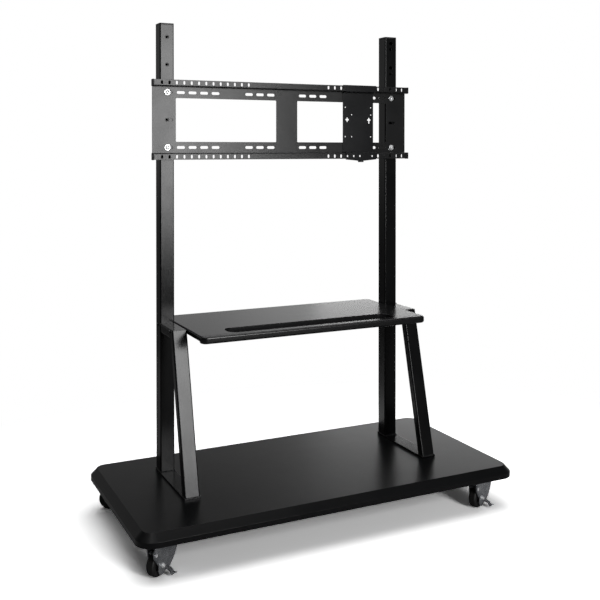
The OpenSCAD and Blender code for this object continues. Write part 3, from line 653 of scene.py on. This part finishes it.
def board(name, loops, low, high, radius, steps=RIM_STEPS):
    """Slab between two heights with rounded rims; loops after the first are openings with finer rims."""
    bm = slab_of(loops, low, high)
    openings = {(round(x, PLACES), round(y, PLACES)) for loop in loops[1:] for x, y in loop}

    def is_rim(edge, opening):
        level = abs(edge.verts[0].co.z - edge.verts[1].co.z) < RIM_LEVEL
        places = [(round(v.co.x, PLACES), round(v.co.y, PLACES)) for v in edge.verts]
        return (len(edge.link_faces) == 2 and edge.calc_face_angle() > RIM_ANGLE and level
                and all((place in openings) == opening for place in places))

    for opening, offset in ((False, radius), (True, SLOT_RIM)):
        rims = [e for e in bm.edges if is_rim(e, opening)]
        if rims:
            bevelled(bm, rims, offset, steps)
    return finished(name, bm)


def rounded_shelf():
    """Shelf board with its thicker rounded front bar and the long open slot behind it."""
    low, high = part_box("shelf")
    split = low.y + NOSE_DEPTH
    nose = outline(low.x, high.x, low.y, split, (SHELF_CORNER, SHELF_CORNER, JOIN_CORNER, JOIN_CORNER))
    bar = board("shelf_bar", [nose], low.z, high.z, NOSE_ROUND, NOSE_STEPS)
    front = split + SLOT_GAP
    slot = outline(-SLOT_HALF, SLOT_HALF, front, front + SLOT_DEPTH, (SLOT_ROUND,) * 4)
    rim = outline(low.x, high.x, low.y + NOSE_DEPTH / 2, high.y,
                  (JOIN_CORNER, JOIN_CORNER, SHELF_CORNER, SHELF_CORNER))
    slab = board("shelf_slab", [rim, slot[::-1]], high.z - SHELF_THICK, high.z - JOIN_STEP, SHELF_ROUND)
    place_piece("shelf_bar", bar, SHELF_SATIN, "shelf")
    place_piece("shelf_slab", slab, SHELF_SATIN, "shelf", ("shelf",))


# Rounded edges, in metres

SHEET_EDGE = 0.0005
ROD_EDGE = 0.0004
LEVER_EDGE = 0.0004
BOLT_EDGE = 0.0005
WASHER_EDGE = 0.0003
SCREW_EDGE = 0.0004
FOOT_EDGE = 0.0008
RAIL_CAP_EDGE = 0.0006
RAIL_CAP_STEPS = 3
POST_CAP_EDGE = 0.0012
POST_CAP_STEPS = 4

weld_beads()
caster_details()
rounded_shelf()
for corner in CORNERS:
    softened("caster_fork_" + corner, SHEET_EDGE)
    softened("caster_plate_" + corner, SHEET_EDGE)
    softened("caster_axle_" + corner, ROD_EDGE)
for corner in BRAKED_CORNERS:
    softened("brake_" + corner, LEVER_EDGE)
    softened("brake_pin_" + corner, ROD_EDGE)
for place in RAIL_ENDS:
    softened("rail_cap_" + place, RAIL_CAP_EDGE, RAIL_CAP_STEPS)
for side in SIDES:
    softened("post_cap_" + side, POST_CAP_EDGE, POST_CAP_STEPS)
    softened("foot_plate_" + side, FOOT_EDGE)
softened("bracket_bolts", BOLT_EDGE)
softened("bracket_washers", WASHER_EDGE)
softened("device_screw", SCREW_EDGE)


# Studio

WHITE = (1.0, 1.0, 1.0, 1.0)

# Strength of the dim studio that lights the trolley from all round
WORLD_DIM = 0.06
# The backdrop stands behind, between a fade from the floor and one at its top, in shares of a direction
BACKDROP_BEHIND = (0.15, 0.55)
BACKDROP_FLOOR = (-0.08, 0.0)
BACKDROP_TOP = (0.17, 0.34)
# Its brightness from left to right: place and level
BACKDROP_SIDES = (-0.6, 0.6)
BACKDROP_ACROSS = ((0.01, 0.36), (0.16, 0.08), (0.5, 0.25), (0.78, 0.55), (0.88, 0.6), (0.94, 1.0))

# The floor's size in metres, and the oval round the trolley where it runs out into white
FLOOR_WIDTH = 5.4
FLOOR_DEPTH = 4.4
OVAL_HALF_WIDTH = 1.25
OVAL_HALF_DEPTH = 0.95
OVAL_FADE = (0.75, 1.5)
# The floor's colour in the picture, and the one that lights the trolley from below
FLOOR_WHITE = (2.0, 2.0, 2.0, 1.0)
FLOOR_TO_OBJECT = (0.22, 0.22, 0.22, 1.0)
# Where the white floor is mirrored: behind the trolley and to its right, in metres
MIRRORED_BEHIND = (0.3, 0.8)
MIRRORED_RIGHT = (-0.35, 0.25)

# Soft lights: name, place, point that it faces, size in metres, power in watts
SOFTBOXES = (
    ("front_softbox", (0.82, -3.9, 1.52), (-0.405, 0.12, 1.52), (1.05, 2.0), 100.0),
    ("back_softbox", (4.5, 5.1, 0.85), (0.2, 0.0, 0.5), (3.4, 1.1), 40.0),
    ("overhead_softbox", (-0.1, 0.3, 4.0), (0.0, 0.0, 0.0), (4.8, 4.4), 124.0),
)

# Camera of the photograph: place in metres, angles in radians, sensor and lens in millimetres
CAMERA_PLACE = (-1.24269, -2.55301, 1.14421)
CAMERA_DOWN = 0.0114
CAMERA_TURN = -0.45102
CAMERA_SENSOR = 36.0
CAMERA_LENS = 53.649
CAMERA_SHIFT = -0.2353
CAMERA_FAR = 200.0


def seen_or_mirrored(tree, zone):
    """One for what the camera sees, and the zone's value for what gloss and glass mirror."""
    path = add(tree, "ShaderNodeLightPath")
    mirrored = calc(tree, "MAXIMUM", path.outputs["Is Glossy Ray"], path.outputs["Is Transmission Ray"])
    mirrored = calc(tree, "MULTIPLY", mirrored, zone)
    return calc(tree, "MAXIMUM", mirrored, path.outputs["Is Camera Ray"])


def studio_world():
    """White backdrop behind the trolley, in the picture and in reflections; the studio in front is dim."""
    world = bpy.data.worlds.new("studio")
    bpy.context.scene.world = world
    world.use_nodes = True
    tree = world.node_tree
    tree.nodes.clear()
    out = add(tree, "ShaderNodeOutputWorld")
    seen = add(tree, "ShaderNodeBackground", Color=WHITE, Strength=1.0)
    dim = add(tree, "ShaderNodeBackground", Color=WHITE, Strength=WORLD_DIM)
    where = add(tree, "ShaderNodeTexCoord").outputs["Generated"]
    split = add(tree, "ShaderNodeSeparateXYZ", Vector=where)
    behind = fade(tree, split.outputs["Y"], *BACKDROP_BEHIND)
    below_top = fade(tree, split.outputs["Z"], *BACKDROP_TOP, 1.0, 0.0)
    above_floor = fade(tree, split.outputs["Z"], *BACKDROP_FLOOR)
    across = fade(tree, split.outputs["X"], *BACKDROP_SIDES)
    rightward = ramp(tree, across, [(at, (level,) * 3) for at, level in BACKDROP_ACROSS])
    band = calc(tree, "MULTIPLY", below_top, above_floor)
    zone = calc(tree, "MULTIPLY", calc(tree, "MULTIPLY", behind, rightward), band)
    both = mixed(tree, seen_or_mirrored(tree, zone), dim.outputs["Background"], seen.outputs["Background"])
    tree.links.new(both, out.inputs["Surface"])


def softbox(name, place, aim, size, power):
    """A rectangular studio light that faces a point."""
    data = bpy.data.lights.new(name, "AREA")
    data.shape = "RECTANGLE"
    data.size, data.size_y = size
    data.energy = power
    lamp = bpy.data.objects.new(name, data)
    bpy.context.scene.collection.objects.link(lamp)
    lamp.location = place
    lamp.rotation_euler = (Vector(aim) - Vector(place)).to_track_quat("-Z", "Y").to_euler()
    lamp.visible_camera = False


def floor_finish():
    """White floor in the picture, with the trolley's shadow, and a duller one that lights the trolley."""
    mat, tree, surface = new_material("pale_floor")
    near = add(tree, "ShaderNodeBsdfDiffuse", Color=FLOOR_WHITE)
    far = add(tree, "ShaderNodeEmission", Strength=1.0)
    dull = add(tree, "ShaderNodeBsdfDiffuse", Color=FLOOR_TO_OBJECT)
    place = add(tree, "ShaderNodeTexCoord").outputs["Object"]
    oval = add(tree, "ShaderNodeVectorMath", {"operation": "MULTIPLY"})
    tree.links.new(place, oval.inputs[0])
    oval.inputs[1].default_value = (1.0 / OVAL_HALF_WIDTH, 1.0 / OVAL_HALF_DEPTH, 0.0)
    reach = add(tree, "ShaderNodeVectorMath", {"operation": "LENGTH"}, Vector=oval.outputs["Vector"])
    outward = fade(tree, reach.outputs["Value"], *OVAL_FADE)
    white = mixed(tree, outward, near.outputs["BSDF"], far.outputs["Emission"])
    split = add(tree, "ShaderNodeSeparateXYZ", Vector=place)
    behind = fade(tree, split.outputs["Y"], *MIRRORED_BEHIND)
    zone = calc(tree, "MULTIPLY", behind, fade(tree, split.outputs["X"], *MIRRORED_RIGHT))
    tree.links.new(mixed(tree, seen_or_mirrored(tree, zone), dull.outputs["BSDF"], white), surface)
    return mat


def pale_floor():
    """White studio floor: keeps the trolley's shadow and runs out into the white backdrop."""
    bpy.ops.mesh.primitive_plane_add(size=1, location=(0, 0, 0))
    floor = bpy.context.object
    floor.name = "studio_floor"
    for v in floor.data.vertices:
        v.co = Vector((v.co.x * FLOOR_WIDTH, v.co.y * FLOOR_DEPTH, 0.0))
    floor.data.materials.append(floor_finish())


def photo_camera():
    """Camera of the reference view: almost level, from the front left, frame shifted down."""
    data = bpy.data.cameras.new("reference_view")
    data.sensor_width = CAMERA_SENSOR
    data.lens = CAMERA_LENS
    data.shift_y = CAMERA_SHIFT
    data.clip_end = CAMERA_FAR
    cam = bpy.data.objects.new("reference_view", data)
    bpy.context.scene.collection.objects.link(cam)
    cam.location = CAMERA_PLACE
    cam.rotation_euler = (math.pi / 2 - CAMERA_DOWN, 0.0, CAMERA_TURN)
    bpy.context.scene.camera = cam


studio_world()
for name, place, aim, size, power in SOFTBOXES:
    softbox(name, place, aim, size, power)
pale_floor()
photo_camera()

scene = bpy.context.scene
scene.view_settings.view_transform = "Standard"
